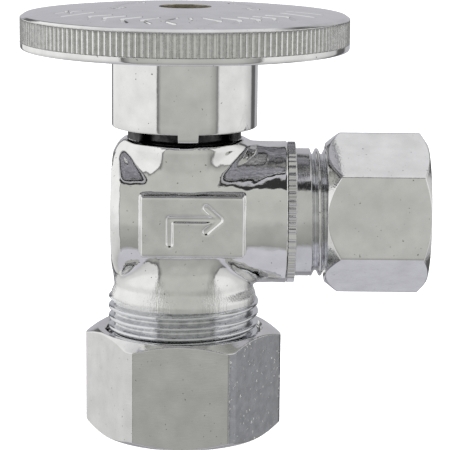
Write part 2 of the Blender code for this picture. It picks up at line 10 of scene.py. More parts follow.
import bpy
import numpy as np
from mathutils import Euler, Matrix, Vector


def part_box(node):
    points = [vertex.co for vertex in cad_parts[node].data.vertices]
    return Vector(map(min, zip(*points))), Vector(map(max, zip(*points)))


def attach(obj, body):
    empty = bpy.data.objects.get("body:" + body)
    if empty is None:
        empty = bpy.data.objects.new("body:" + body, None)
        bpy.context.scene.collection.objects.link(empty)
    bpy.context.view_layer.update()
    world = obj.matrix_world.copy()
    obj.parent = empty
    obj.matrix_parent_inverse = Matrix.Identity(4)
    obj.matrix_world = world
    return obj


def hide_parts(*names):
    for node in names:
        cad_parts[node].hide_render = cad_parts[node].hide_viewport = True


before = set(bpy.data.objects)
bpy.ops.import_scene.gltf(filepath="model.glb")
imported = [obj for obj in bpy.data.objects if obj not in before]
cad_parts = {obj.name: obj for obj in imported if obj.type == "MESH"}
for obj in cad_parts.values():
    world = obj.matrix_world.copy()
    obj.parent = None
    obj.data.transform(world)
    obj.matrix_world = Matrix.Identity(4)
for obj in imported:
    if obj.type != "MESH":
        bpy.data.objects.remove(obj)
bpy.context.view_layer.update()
MM = 0.001


def box_mm(node):
    """A CAD node's lowest and highest corner, in millimetres."""
    low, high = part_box(node)
    return np.array(low) / MM, np.array(high) / MM


BODY_LOW, BODY_HIGH = box_mm("valve_body")
ADAPTER_LOW, ADAPTER_HIGH = box_mm("outlet_adapter")
HANDLE_LOW, HANDLE_HIGH = box_mm("handle")
INLET_NUT_LOW, INLET_NUT_HIGH = box_mm("inlet_nut")
OUTLET_NUT_LOW, OUTLET_NUT_HIGH = box_mm("outlet_nut")
INLET_SLEEVE_LOW, INLET_SLEEVE_HIGH = box_mm("inlet_sleeve")
OUTLET_SLEEVE_LOW, OUTLET_SLEEVE_HIGH = box_mm("outlet_sleeve")
SCREW_LOW, SCREW_HIGH = box_mm("handle_screw")

OUTLET_HEIGHT = (ADAPTER_LOW[2] + ADAPTER_HIGH[2]) / 2

# Threads: a depth is a share of the pitch, and a phase shifts the ridges along the axis
INLET_PITCH = 1.411
OUTLET_PITCH = 1.27
INLET_CREST = 10.30
OUTLET_CREST = 8.72
THREAD_DEPTH = 0.61
INLET_THREAD_PHASE = 0.39
OUTLET_THREAD_PHASE = 0.2
THREAD_CHAMFER = 0.1
FEMALE_CLEARANCE = 0.22
FEMALE_DEPTH = 0.55
INLET_THREAD_TOP = 18.3

# Body, and the stop lug under the handle's skirt with its notch in the rim
BARREL_RADIUS = 9.72
BARREL_BACK = -9.68
BOSS_RADIUS = 9.22
NECK_RADIUS = 8.58
SHOULDER = 40.65
LUG_CENTRE = math.radians(-86)
LUG_HALF_ANGLE = math.radians(8)
NOTCH_HALF_ANGLE = math.radians(54)


# Mesh building

def mesh_object(name, points, faces):
    """A smooth-shaded object from points in millimetres."""
    mesh = bpy.data.meshes.new(name)
    mesh.from_pydata((np.asarray(points) * MM).tolist(), [], np.asarray(faces).tolist())
    mesh.shade_smooth()
    made = bpy.data.objects.new(name, mesh)
    bpy.context.scene.collection.objects.link(made)
    return made


def upright(x, y, z):
    """Keeps a turned piece on the stem's axis."""
    return x, y, z


def outwards(x, y, z):
    """Lays a turned piece along the outlet's axis, its own +Z along +X."""
    return z, y, OUTLET_HEIGHT - x


def rounded_loop(corners):
    """Points along a closed outline; a corner is (radius from axis, height, rounding, step)."""
    count = len(corners)
    flat = np.array([corner[:2] for corner in corners], float)
    starts, ends, arcs = [], [], []
    for i, (_, _, rounding, _) in enumerate(corners):
        here = flat[i]
        back = flat[i - 1] - here
        ahead = flat[(i + 1) % count] - here
        back_length, ahead_length = np.linalg.norm(back), np.linalg.norm(ahead)
        back, ahead = back / back_length, ahead / ahead_length
        half = math.acos(np.clip(back @ ahead, -1, 1)) / 2
        if rounding <= 0 or half > math.radians(89):
            starts.append(here)
            ends.append(here)
            arcs.append([here])
            continue
        reach = min(rounding / math.tan(half), 0.49 * min(back_length, ahead_length))
        start, end = here + back * reach, here + ahead * reach
        pieces = max(3, int(math.degrees(math.pi - 2 * half) / 15))
        arc = []
        for k in range(pieces + 1):
            t = k / pieces
            arc.append((1 - t) ** 2 * start + 2 * t * (1 - t) * here + t**2 * end)
        starts.append(start)
        ends.append(end)
        arcs.append(arc)
    points = []
    for i in range(count):
        points.extend(arcs[i])
        gap = starts[(i + 1) % count] - ends[i]
        steps = max(1, int(round(np.linalg.norm(gap) / corners[i][3])))
        points.extend(ends[i] + gap * k / steps for k in range(1, steps))
    return np.array(points)


def turned_piece(name, corners, columns, shape=None, place=upright):
    """A closed ring: a rounded outline swept round the axis, then shaped by a formula."""
    loop = rounded_loop(corners)
    angle = np.linspace(0, 2 * math.pi, columns, endpoint=False)
    radius = np.repeat(loop[:, :1], columns, axis=1)
    height = np.repeat(loop[:, 1:], columns, axis=1)
    angles = np.repeat(angle[None, :], len(loop), axis=0)
    if shape is not None:
        radius, height = shape(radius, height, angles)
    points = np.stack(place(radius * np.cos(angles), radius * np.sin(angles), height), axis=-1)
    return mesh_object(name, points.reshape(-1, 3), ring_faces(len(loop), columns))


def ring_faces(rows, columns):
    """Quads between neighbouring rows and columns, both of which wrap round."""
    row, column = np.meshgrid(np.arange(rows), np.arange(columns), indexing="ij")
    below, beside = (row + 1) % rows, (column + 1) % columns
    corners = [row * columns + column, below * columns + column]
    corners += [below * columns + beside, row * columns + beside]
    return np.stack(corners, axis=-1).reshape(-1, 4)


def smooth_step(value, low, high):
    """0 below low, 1 above high, and smooth between."""
    t = np.clip((value - low) / (high - low), 0, 1)
    return t * t * (3 - 2 * t)


def soft_min(a, b, width):
    """The smaller of two values, rounded over where they meet."""
    h = np.clip(0.5 + 0.5 * (b - a) / width, 0, 1)
    return b + (a - b) * h - width * h * (1 - h)


def soft_max(a, b, width):
    """The larger of two values, rounded over where they meet."""
    return -soft_min(-a, -b, width)


def thread_height(height, angle, pitch):
    """A right-hand thread's profile: 0 in its groove and 1 on its crest."""
    phase = (height / pitch - angle / (2 * math.pi)) % 1
    slope = 1 - np.abs(2 * phase - 1)
    return smooth_step(slope, 0.10, 0.86)


class Ripple:
    """A smooth random unevenness made of a few waves, the same in every run."""

    def __init__(self, seed, wavelength, waves=14):
        source = np.random.default_rng(seed)
        direction = source.normal(size=(waves, 3))
        direction /= np.linalg.norm(direction, axis=1)[:, None]
        length = wavelength * source.uniform(0.7, 1.5, size=(waves, 1))
        self.vectors = 2 * math.pi * direction / length
        self.phases = source.uniform(0, 2 * math.pi, size=waves)

    def at(self, x, y, z):
        total = np.zeros(np.shape(x))
        for (a, b, c), phase in zip(self.vectors, self.phases):
            total += np.sin(a * x + b * y + c * z + phase)
        return total / math.sqrt(len(self.phases))


# Surface of a distance function

CELL_CORNERS = [(i, j, k) for i in (0, 1) for j in (0, 1) for k in (0, 1)]


def surface_of(distance, low, high, cell):
    """Quads round the zero surface of a distance function, one point in each crossed cell."""
    axes = [np.arange(a, b + cell, cell) for a, b in zip(low, high)]
    values = distance(*np.meshgrid(*axes, indexing="ij")).astype(np.float32)
    inside = values < 0
    filled = sum(at_corner(inside, corner).astype(np.int8) for corner in CELL_CORNERS)
    active = (filled > 0) & (filled < 8)
    cells = np.argwhere(active)
    index = -np.ones(active.shape, np.int64)
    index[active] = np.arange(len(cells))
    origin = np.array([a[0] for a in axes])
    points = (cells + middle_of_crossings(values, active)) * cell + origin
    return settled(distance, points), quads_round_edges(inside, index)


def at_corner(array, corner):
    """The values at one corner of every cell."""
    return array[tuple(slice(o, o + n - 1) for o, n in zip(corner, array.shape))]


def middle_of_crossings(values, active):
    """The mean place, within each active cell, where the surface crosses the cell's edges."""
    count = int(active.sum())
    total = np.zeros((count, 3))
    crossings = np.zeros(count)
    for a in CELL_CORNERS:
        for axis in range(3):
            if a[axis]:
                continue
            b = tuple(1 if n == axis else o for n, o in enumerate(a))
            start = at_corner(values, a)[active]
            end = at_corner(values, b)[active]
            crossed = (start < 0) != (end < 0)
            share = np.where(crossed, start / np.where(crossed, start - end, 1), 0)
            point = np.array(a, float)[None, :].repeat(count, 0)
            point[:, axis] += share
            total += point * crossed[:, None]
            crossings += crossed
    return total / crossings[:, None]


def quads_round_edges(inside, index):
    """A quad round each grid edge that the surface crosses, joining its four cells' points."""
    shape = index.shape
    faces = []
    for axis in range(3):
        u, v = (axis + 1) % 3, (axis + 2) % 3
        first = [slice(1, n) for n in shape]
        second = [slice(1, n) for n in shape]
        first[axis] = slice(0, shape[axis])
        second[axis] = slice(1, shape[axis] + 1)
        start, end = inside[tuple(first)], inside[tuple(second)]
        for rising in (True, False):
            edges = np.argwhere((start != end) & (start == rising)) + 1
            edges[:, axis] -= 1
            around = []
            for du, dv in ((-1, -1), (0, -1), (0, 0), (-1, 0)):
                neighbour = edges.copy()
                neighbour[:, u] += du
                neighbour[:, v] += dv
                around.append(index[tuple(neighbour.T)])
            quads = np.stack(around, axis=-1)
            faces.append(quads if rising else quads[:, ::-1])
    faces = np.concatenate(faces)
    return faces[(faces >= 0).all(axis=1)]


def gradient(distance, points, reach=0.03):
    """The direction in which a distance function grows, at each point."""
    made = np.zeros_like(points)
    for axis in range(3):
        shift = np.zeros(3)
        shift[axis] = reach
        made[:, axis] = distance(*(points + shift).T) - distance(*(points - shift).T)
    return made / (2 * reach)


def settled(distance, points, rounds=3):
    """Moves points onto the zero surface."""
    for _ in range(rounds):
        slope = gradient(distance, points)
        size = np.maximum((slope**2).sum(axis=1), 0.3)
        points = points - slope * (distance(*points.T) / size)[:, None]
    return points


def disc(radius, half_height, across, along, rounding):
    """Distance to a solid cylinder with rounded rims; across and along are measured from it."""
    side = across - radius + rounding
    end = np.abs(along) - half_height + rounding
    outside = np.hypot(np.maximum(side, 0), np.maximum(end, 0))
    return outside + np.minimum(np.maximum(side, end), 0) - rounding


def slab(x, y, z, centre, half, rounding):
    """Distance to a box with rounded edges."""
    sides = [np.abs(p - c) - h + rounding for p, c, h in zip((x, y, z), centre, half)]
    outside = np.sqrt(sum(np.maximum(s, 0) ** 2 for s in sides))
    return outside + np.minimum(np.maximum(np.maximum(sides[0], sides[1]), sides[2]), 0) - rounding


def stroke(across, along, start, end):
    """Flat distance to a straight stroke between two (across, along) points."""
    run = (end[0] - start[0], end[1] - start[1])
    share = (across - start[0]) * run[0] + (along - start[1]) * run[1]
    share = np.clip(share / (run[0] ** 2 + run[1] ** 2), 0, 1)
    return np.hypot(across - start[0] - share * run[0], along - start[1] - share * run[1])


# Forged body

BADGE_LEFT, BADGE_RIGHT = -5.6, 8.2
BADGE_BOTTOM, BADGE_TOP = 26.0, 34.35
BADGE_FACE = -10.28
MARK_RADIUS = 0.50
MARK_DEPTH = 0.17
RIM_RADIUS = 7.68
RIM_BORE = 6.9
RIM_HEIGHT = 39.4
TOWER_RADIUS = 6.2
CHAMBER_RADIUS, CHAMBER_BACK = 7.3, -7.9
ADAPTER_BORE, ADAPTER_BORE_START = 8.0, 7.2
SOCKET_RADIUS, SOCKET_TOP = 8.1, 18.5
INLET_BORE = 5.0
STEM_CHAMBER, STEM_CHAMBER_TOP = 5.2, 39.8
STEM_BORE = 4.0
BODY_CELL = 0.21
BODY_MARGIN = 0.6
BODY_FRONT, BODY_REAR = -10.9, 10.3
BODY_FOOT = 17.7
FORGING_FINE = Ripple(7, 1.5)
FORGING_COARSE = Ripple(3, 4.0)
TOOL_MARKS = Ripple(11, 1.0)
FLOW_MARK = (
    ((-1.7, 27.9), (-1.7, 31.2)), ((-1.7, 31.2), (4.9, 31.2)),
    ((4.9, 31.2), (3.1, 32.8)), ((4.9, 31.2), (3.1, 29.6)),
)


def flow_mark(x, z):
    """Flat distance to the strokes of a bent arrow, which shows the flow from inlet to outlet."""
    nearest = np.full(np.shape(x), 99.0)
    for start, end in FLOW_MARK:
        nearest = np.minimum(nearest, stroke(x, z, start, end))
    return nearest


def forging(x, z, from_stem, from_outlet):
    """Distance to the barrel, the neck and the boss, which run into each other."""
    middle = (BARREL_BACK + BODY_HIGH[0]) / 2
    half = (BODY_HIGH[0] - BARREL_BACK) / 2
    barrel = disc(BARREL_RADIUS, half, from_outlet, x - middle, 0.25)
    back = disc(BARREL_RADIUS, half, from_outlet, x - middle, 1.9)
    barrel = np.where(x < 0, back, barrel)
    neck = disc(NECK_RADIUS, 10, from_stem, z - SHOULDER + 10, 0.9)
    flare = BOSS_RADIUS + 0.30 * smooth_step(-z, -23.5, -21.2) + 0.45 * smooth_step(-z, -20.6, -19.0)
    boss = disc(flare, 5.7, from_stem, z - 23.95, 0.12)
    return soft_min(soft_min(barrel, neck, 1.1), boss, 0.9)


def raised_badge(x, y, z):
    """Distance to the badge, whose top edge slopes and whose face carries the bent arrow."""
    centre = ((BADGE_LEFT + BADGE_RIGHT) / 2, -4.0, (BADGE_BOTTOM + BADGE_TOP) / 2)
    size = ((BADGE_RIGHT - BADGE_LEFT) / 2, -BADGE_FACE - 4.0, (BADGE_TOP - BADGE_BOTTOM) / 2)
    badge = slab(x, y, z, centre, size, 0.42)
    top_slope = ((z - BADGE_TOP) + (y - BADGE_FACE) * -0.9 + 0.1) * 0.743
    badge = soft_max(badge, top_slope, 0.25)
    mark = np.hypot(flow_mark(x, z), y - BADGE_FACE + MARK_DEPTH) - MARK_RADIUS
    return soft_max(badge, -mark, 0.16)


def stop_rim(x, y, z, from_stem):
    """Distance to the rim round the stem, with the notch that the handle's lug swings in."""
    rim = disc(RIM_RADIUS, 3, from_stem, z - RIM_HEIGHT, 0.25)
    rim = np.maximum(rim, RIM_BORE - from_stem)
    side = np.cos(LUG_CENTRE) * y - np.sin(LUG_CENTRE) * x
    ahead = np.cos(LUG_CENTRE) * x + np.sin(LUG_CENTRE) * y
    notch = math.sin(NOTCH_HALF_ANGLE) * ahead - np.abs(side) * math.cos(NOTCH_HALF_ANGLE)
    return soft_max(rim, notch, 0.2)


def bores(x, z, from_stem, from_outlet):
    """Distances to the hollows that are cut out of the body."""
    above = OUTLET_HEIGHT - z
    return [
        np.maximum(from_outlet - CHAMBER_RADIUS, CHAMBER_BACK - x),
        np.maximum(from_outlet - ADAPTER_BORE, ADAPTER_BORE_START - x),
        np.maximum(from_stem - SOCKET_RADIUS, z - SOCKET_TOP),
        np.maximum(from_stem - INLET_BORE, -above),
        np.maximum(np.maximum(from_stem - STEM_CHAMBER, z - STEM_CHAMBER_TOP), above),
        np.maximum(from_stem - STEM_BORE, above),
    ]


def body_distance(x, y, z):
    """Distance to the body above its inlet thread, bores included."""
    from_outlet = np.hypot(y, z - OUTLET_HEIGHT)
    from_stem = np.hypot(x, y)
    forged = soft_min(forging(x, z, from_stem, from_outlet), raised_badge(x, y, z), 0.42)
    tower = disc(TOWER_RADIUS, 10, from_stem, z - BODY_HIGH[2] + 10, 0.4)
    solid = soft_min(soft_min(forged, tower, 0.3), stop_rim(x, y, z, from_stem), 0.2)
    for bore in bores(x, z, from_stem, from_outlet):
        solid = soft_max(solid, -bore, 0.06)
    return solid


def make_body():
    """The forged body, with the slight waves that forging and polishing leave."""
    cell = BODY_CELL
    low = (BODY_LOW[0] - BODY_MARGIN, BODY_FRONT, BODY_FOOT)
    high = (BODY_HIGH[0] + BODY_MARGIN, BODY_REAR, BODY_HIGH[2] + BODY_MARGIN)
    points, faces = surface_of(body_distance, low, high, cell)
    slope = gradient(body_distance, points)
    slope /= np.maximum(np.linalg.norm(slope, axis=1), 1e-6)[:, None]
    x, y, z = points.T
    outer = np.hypot(x, y) > 8.35
    outer &= np.hypot(y, z - OUTLET_HEIGHT) > 8.35
    depth = 0.032 * FORGING_COARSE.at(x, y, z) + 0.008 * FORGING_FINE.at(x, y, z) - 0.04
    flat_badge = (y < BADGE_FACE + 0.6) & (x > BADGE_LEFT) & (x < BADGE_RIGHT)
    flat_badge &= (z > BADGE_BOTTOM) & (z < BADGE_TOP)
    depth = np.where(flat_badge, 0.4 * depth, depth)
    turn = np.arctan2(x, -y)
    machined = smooth_step(-z, -20.6, -19.6)
    marks = TOOL_MARKS.at(30 * np.sin(turn), 30 * np.cos(turn), 0.15 * z)
    depth = depth + 0.010 * machined * marks
    points = points + slope * (depth * outer)[:, None]
    return mesh_object("body_shell", points, faces)


def make_inlet_thread():
    """The body's lower end: male thread outside, pipe socket inside."""
    root = INLET_CREST - THREAD_DEPTH * INLET_PITCH

    def shape(radius, height, angle):
        outside = radius > 9.4
        profile = thread_height(height - INLET_THREAD_PHASE, angle, INLET_PITCH)
        ridge = root + (INLET_CREST - root) * profile
        start = smooth_step(height, BODY_LOW[2] + 0.9, BODY_LOW[2])
        ridge = ridge * (1 - start) + (root - THREAD_CHAMFER) * start
        return np.where(outside, ridge, radius), height

    corners = [
        (9.2, 18.9, 0, 0.3),
        (10.0, INLET_THREAD_TOP, 0, 0.09),
        (10.0, BODY_LOW[2], 0.0, 0.20),
        (8.95, BODY_LOW[2], 0.08, 0.3),
        (8.12, BODY_LOW[2] + 0.85, 0.1, 1.0),
        (8.12, 18.45, 0, 0.5),
        (9.0, 18.9, 0, 0.5),
    ]
    return turned_piece("inlet_thread", corners, 300, shape)


def make_adapter():
    """The outlet adapter: shank, serrated collar, plain collar and male thread."""
    root = OUTLET_CREST - THREAD_DEPTH * OUTLET_PITCH
    end = ADAPTER_HIGH[0]
    collar_start, collar_end, plain_end = 14.02, 15.08, 16.95
    uneven = Ripple(5, 1.2)
    teeth_round = 60
    tooth_depth = 0.32

    def shape(radius, height, angle):
        wander = uneven.at(4 * np.cos(angle), 4 * np.sin(angle), 0)
        teeth = np.cos(angle * teeth_round + 1.1 * wander)
        on_collar = (radius > 9.0) & (height > collar_start - 0.05)
        radius = radius - on_collar * tooth_depth / 2 * (1 - teeth)
        threaded = (radius > OUTLET_CREST - 0.9) & (height > plain_end) & (radius < 9.0)
        profile = thread_height(height - OUTLET_THREAD_PHASE, angle, OUTLET_PITCH)
        ridge = root + (OUTLET_CREST - root) * profile
        start = smooth_step(height, end - 0.7, end)
        ridge = ridge * (1 - start) + (root - THREAD_CHAMFER) * start
        blend = smooth_step(height, plain_end, plain_end + 0.35)
        radius = np.where(threaded, radius * (1 - blend) + ridge * blend, radius)
        return radius, height

    corners = [
        (7.3, end, 0.1, 0.3),
        (8.72, end, 0, 0.09),
        (8.72, plain_end, 0.5, 0.12),
        (8.72, collar_end, 0.12, 0.3),
        (9.62, collar_end, 0.12, 0.25),
        (9.62, collar_start, 0.1, 0.3),
        (7.7, collar_start, 0, 0.5),
        (7.7, 10.7, 0, 0.5),
        (6.3, 10.7, 0, 0.5),
        (6.3, 8.9, 0, 0.5),
        (7.7, 8.9, 0, 0.5),
        (7.7, ADAPTER_LOW[0], 0.1, 0.5),
        (4.5, ADAPTER_LOW[0], 0.1, 1.0),
        (4.5, 17.0, 0.1, 0.5),
        (6.51, 17.0, 0.05, 1.0),
        (6.51, end - 0.8, 0.1, 0.3),
    ]
    return turned_piece("adapter_shell", corners, 480, shape, outwards)


# Compression nuts and sleeves

NUT_COLUMNS = 432
INLET_NUT_FLATS = 23.94
INLET_NUT_SPIN = math.radians(-31.1)
INLET_NUT_EDGE = (0.36, 0.2)
INLET_NUT_CORNER = 13.75
INLET_NUT_FACE = 11.75
OUTLET_NUT_FLATS = 19.05
OUTLET_NUT_SPIN = math.radians(24.5)
OUTLET_NUT_EDGE = (0.0, 0.14)
OUTLET_NUT_CORNER = 11.0
INLET_SLEEVE_RADII = (8.02, 9.0, 8.46)
OUTLET_SLEEVE_RADII = (6.43, 7.41, 6.87)


def make_nut(name, flats, spin, outline, thread, place, edge):
    """A hexagon nut: a turned outline trimmed to six flats, with a female thread inside.

    thread is (crest radius, pitch, lower end, upper end), and edge is (trim, rounding) of the
    hexagon's six edges.
    """
    edge_trim, edge_width = edge
    corner = flats / math.sqrt(3) - edge_trim
    crest, pitch, bore_low, bore_high = thread

    def shape(radius, height, angle):
        sector = (angle - spin + math.pi / 6) % (math.pi / 3) - math.pi / 6
        hexagon = flats / 2 / np.cos(sector)
        hexagon = soft_min(hexagon, np.full_like(hexagon, corner), edge_width)
        outside = radius > flats / 2 - 0.6
        trimmed = np.where(outside, soft_min(radius, hexagon, 0.16), radius)
        in_bore = (np.abs(radius - crest) < 0.02) & (height > bore_low) & (height < bore_high)
        groove = FEMALE_DEPTH * (1 - thread_height(height, angle, pitch))
        return np.where(in_bore, crest + groove, trimmed), height

    return turned_piece(name, outline, NUT_COLUMNS, shape, place)


def make_inlet_nut():
    """The large nut, whose lip faces down."""
    top, bottom = INLET_NUT_HIGH[2], INLET_NUT_LOW[2]
    crest = INLET_CREST + FEMALE_CLEARANCE
    outline = [
        (crest + 0.45, top, 0.12, 0.3),
        (INLET_NUT_FACE, top, 0.12, 0.10),
        (INLET_NUT_CORNER, top - 1.15, 0.2, 0.9),
        (INLET_NUT_CORNER, bottom + 1.15, 0.2, 0.10),
        (INLET_NUT_FACE, bottom, 0.12, 0.3),
        (8.2, bottom, 0.25, 0.5),
        (8.2, 2.4, 0.1, 0.3),
        (9.59, 4.1, 0.1, 0.5),
        (9.59, 5.0, 0.1, 0.3),
        (crest, 5.0, 0, 0.12),
        (crest, top - 0.45, 0, 0.2),
    ]
    thread = (crest, INLET_PITCH, 5.05, top - 0.5)
    return make_nut(
        "inlet_nut_shell", INLET_NUT_FLATS, INLET_NUT_SPIN, outline, thread, upright, INLET_NUT_EDGE
    )


def make_outlet_nut():
    """The small nut, whose lip faces along +X."""
    back, front = OUTLET_NUT_LOW[0], OUTLET_NUT_HIGH[0]
    crest = OUTLET_CREST + FEMALE_CLEARANCE
    outline = [
        (9.45, front, 0.12, 0.10),
        (OUTLET_NUT_CORNER, front - 1.05, 0.2, 0.9),
        (OUTLET_NUT_CORNER, back + 1.9, 0.2, 0.10),
        (9.5, back, 0.12, 0.3),
        (crest + 0.4, back, 0.1, 0.2),
        (crest, back + 0.45, 0, 0.12),
        (crest, 30.18, 0, 0.3),
        (7.99, 30.18, 0.1, 0.3),
        (7.99, 31.08, 0.1, 0.3),
        (6.61, 32.78, 0.05, 0.3),
        (6.61, front, 0.2, 0.4),
    ]
    thread = (crest, OUTLET_PITCH, back + 0.5, 30.1)
    return make_nut(
        "outlet_nut_shell", OUTLET_NUT_FLATS, OUTLET_NUT_SPIN, outline, thread, outwards, OUTLET_NUT_EDGE
    )


def make_sleeve(name, radii, ends, place):
    """A brass sleeve that is fullest in its middle.

    radii are those of its bore, its middle and its ends, and ends are its lower and upper height.
    """
    inner, thick, thin = radii
    low, high = ends
    middle = (low + high) / 2
    corners = [
        (inner, high, 0.08, 0.5),
        (thin, high, 0.12, 0.5),
        (thick, middle + 0.5, 0.5, 0.5),
        (thick, middle - 0.5, 0.5, 0.5),
        (thin, low, 0.12, 0.5),
        (inner, low, 0.08, 0.5),
    ]
    return turned_piece(name, corners, 160, None, place)


# Handle

RIB_COUNT = 164
RIB_SAMPLES = 6
HANDLE_RADIUS = (HANDLE_HIGH[0] - HANDLE_LOW[0]) / 2
RIM_EDGE = HANDLE_HIGH[2] - 1.05
RIM_BOTTOM = 52.8
KNURL_TOP = RIM_EDGE - 0.42
KNURL_BOTTOM = RIM_BOTTOM + 0.95
KNURL_DEPTH = 0.30
SKIRT_RADIUS = 9.86
SKIRT_BOTTOM = 42.3
SKIRT_BORE = 8.75

MARK_RING = 16.0
MARK_CUT = 0.26
ARC_RING = 9.2
ARC_HALF_ANGLE = 0.5
ARC_CENTRES = (math.radians(15), math.radians(165))
MARK_STROKES = {
    "left": (((2.2, 0.8), (0.0, -0.9)), ((0.0, -0.9), (-2.2, 0.8))),
    "right": (((2.2, -0.8), (0.0, 0.9)), ((0.0, 0.9), (-2.2, -0.8))),
    "bar": (((2.2, 0.0), (-2.2, 0.0)),),
    "cross": (((1.6, 0.0), (-1.6, 0.0)), ((0.0, 1.6), (0.0, -1.6))),
}
HANDLE_MARKS = (
    [(-86 - 10 * n, "left") for n in range(1, 6)] + [(-86 + 10 * n, "right") for n in range(1, 6)]
    + [(-86, "bar"), (-150, "bar"), (-22, "bar"), (-163, "cross"), (-9, "bar")]
    + [(100 + 12 * n, "right") for n in range(3)] + [(76 - 12 * n, "left") for n in range(3)]
    + [(88, "bar")]
)


def engraving(radius, angle):
    """How deep the handle's top is cut: chevrons both ways, bars, a cross and two ringed arcs."""
    nearest = np.full(radius.shape, 9.0)
    for turn, kind in HANDLE_MARKS:
        centre = math.radians(turn)
        offset = (angle - centre + math.pi) % (2 * math.pi) - math.pi
        along = offset * MARK_RING
        across = radius - MARK_RING
        for start, end in MARK_STROKES[kind]:
            nearest = np.minimum(nearest, stroke(across, along, start, end))
    for centre in ARC_CENTRES:
        offset = np.abs((angle - centre + math.pi) % (2 * math.pi) - math.pi)
        arc = np.hypot(radius - ARC_RING, np.maximum(offset - ARC_HALF_ANGLE, 0) * ARC_RING)
        nearest = np.minimum(nearest, arc)
        ends = np.abs(offset - ARC_HALF_ANGLE) * ARC_RING
        ring = np.abs(np.hypot(radius - ARC_RING, ends) - 1.0) + 0.12
        nearest = np.minimum(nearest, ring)
    return MARK_CUT * (1 - smooth_step(nearest, 0.10, 0.46))


def handle_shape(radius, height, angle):
    """Cuts the knurl into the rim and the engraving into the top, and hangs the lug."""
    rib = (angle * RIB_COUNT / (2 * math.pi)) % 1
    crest = np.clip(1 - np.abs(rib - 0.5) / 0.24, 0, 1)
    on_rim = radius > HANDLE_RADIUS - 0.08
    band = smooth_step(height, KNURL_BOTTOM - 0.03, KNURL_BOTTOM + 0.05)
    band = band * smooth_step(-height, -KNURL_TOP - 0.02, -KNURL_TOP + 0.14)
    radius = radius - on_rim * band * KNURL_DEPTH * (1 - 0.95 * crest)
    on_top = (height > RIM_EDGE + 0.02) & (radius > 6) & (radius < HANDLE_RADIUS - 1)
    height = height - on_top * engraving(radius, angle)
    turn = (angle - LUG_CENTRE + math.pi) % (2 * math.pi) - math.pi
    on_lug = (np.abs(turn) < LUG_HALF_ANGLE) & (height < 43.0) & (radius > 8.4)
    drop = SKIRT_BOTTOM - HANDLE_LOW[2]
    share = np.clip((43.0 - height) / 0.7, 0, 1)
    return radius, height - on_lug * share * drop


def make_handle():
    """The handle: domed top, knurled rim, shallow recess below, skirt and hub."""
    top = HANDLE_HIGH[2]
    dome = []
    for share in np.linspace(0, 1, 9)[1:]:
        reach = 3.5 + (HANDLE_RADIUS - 0.55 - 3.5) * share
        dome.append((reach, top - (top - RIM_EDGE) * share**1.9, 0.0, 0.20))
    corners = [
        (3.52, top, 0.12, 0.3),
        *dome,
        (HANDLE_RADIUS, RIM_EDGE - 0.38, 0.22, 0.05),
        (HANDLE_RADIUS, KNURL_TOP - 0.15, 0, 0.3),
        (HANDLE_RADIUS, KNURL_BOTTOM + 0.10, 0, 0.04),
        (HANDLE_RADIUS, KNURL_BOTTOM - 0.10, 0, 0.3),
        (HANDLE_RADIUS, RIM_BOTTOM, 0.40, 0.4),
        (19.75, RIM_BOTTOM, 0.3, 0.4),
        (18.95, 54.25, 0.25, 0.3),
        (18.2, 54.1, 0.2, 0.3),
        (17.6, 54.4, 0.4, 0.8),
        (11.2, 54.4, 0.9, 0.5),
        (SKIRT_RADIUS, 52.4, 0.6, 0.8),
        (SKIRT_RADIUS, SKIRT_BOTTOM, 0.22, 0.4),
        (SKIRT_BORE, SKIRT_BOTTOM, 0.15, 0.8),
        (SKIRT_BORE, 49.8, 0.3, 1.0),
        (5.6, 49.8, 0.2, 1.0),
        (5.6, 47.45, 0.2, 0.6),
        (3.9, 47.45, 0.1, 1.5),
        (3.9, 51.1, 0.1, 0.6),
        (2.3, 51.1, 0.1, 0.6),
        (2.3, 53.0, 0.1, 0.4),
        (3.52, 53.0, 0.1, 0.8),
    ]
    return turned_piece("handle_shell", corners, RIB_COUNT * RIB_SAMPLES, handle_shape)


def make_screw():
    """The handle's screw, with a tapered cross recess and a threaded shank."""
    top = SCREW_HIGH[2]
    bottom = SCREW_LOW[2]
    head_bottom = top - 2.2

    def shape(radius, height, angle):
        x, y = np.abs(radius * np.cos(angle)), np.abs(radius * np.sin(angle))
        arm = np.minimum(np.maximum(x - 1.6, y - 0.38), np.maximum(y - 1.6, x - 0.38))
        on_face = (height > top - 0.9) & (radius < 2.6)
        cut = on_face * 1.2 * smooth_step(-arm, -0.06, 0.16)
        on_shank = (radius > 1.2) & (radius < 2.0)
        on_shank &= (height < head_bottom - 0.3) & (height > bottom + 0.2)
        groove = 0.28 * (1 - thread_height(height, angle, 0.79))
        return radius - on_shank * groove, height - cut

    corners = [
        (0.002, top, 0, 0.09),
        (2.3, top - 0.08, 0.8, 0.2),
        (3.08, top - 0.75, 0.4, 0.4),
        (3.08, head_bottom, 0.12, 0.4),
        (1.82, head_bottom, 0.1, 0.1),
        (1.82, bottom + 0.4, 0.1, 0.2),
        (1.3, bottom, 0.1, 0.4),
        (0.002, bottom, 0, 3.0),
    ]
    return turned_piece("handle_screw_shell", corners, 120, shape)


# Shader nodes

def feed(tree, value, socket):
    """Joins a socket, or sets a number or a (red, green, blue) colour."""
    if isinstance(value, (int, float)):
        socket.default_value = value
    elif isinstance(value, tuple):
        socket.default_value = (*value, 1)
    else:
        tree.links.new(value, socket)


def calculate(tree, operation, a, b=0.0, clamp=False):
    """A sum on two values, each a socket or a number."""
    made = tree.nodes.new("ShaderNodeMath")
    made.operation = operation
    made.use_clamp = clamp
    feed(tree, a, made.inputs[0])
    feed(tree, b, made.inputs[1])
    return made.outputs["Value"]


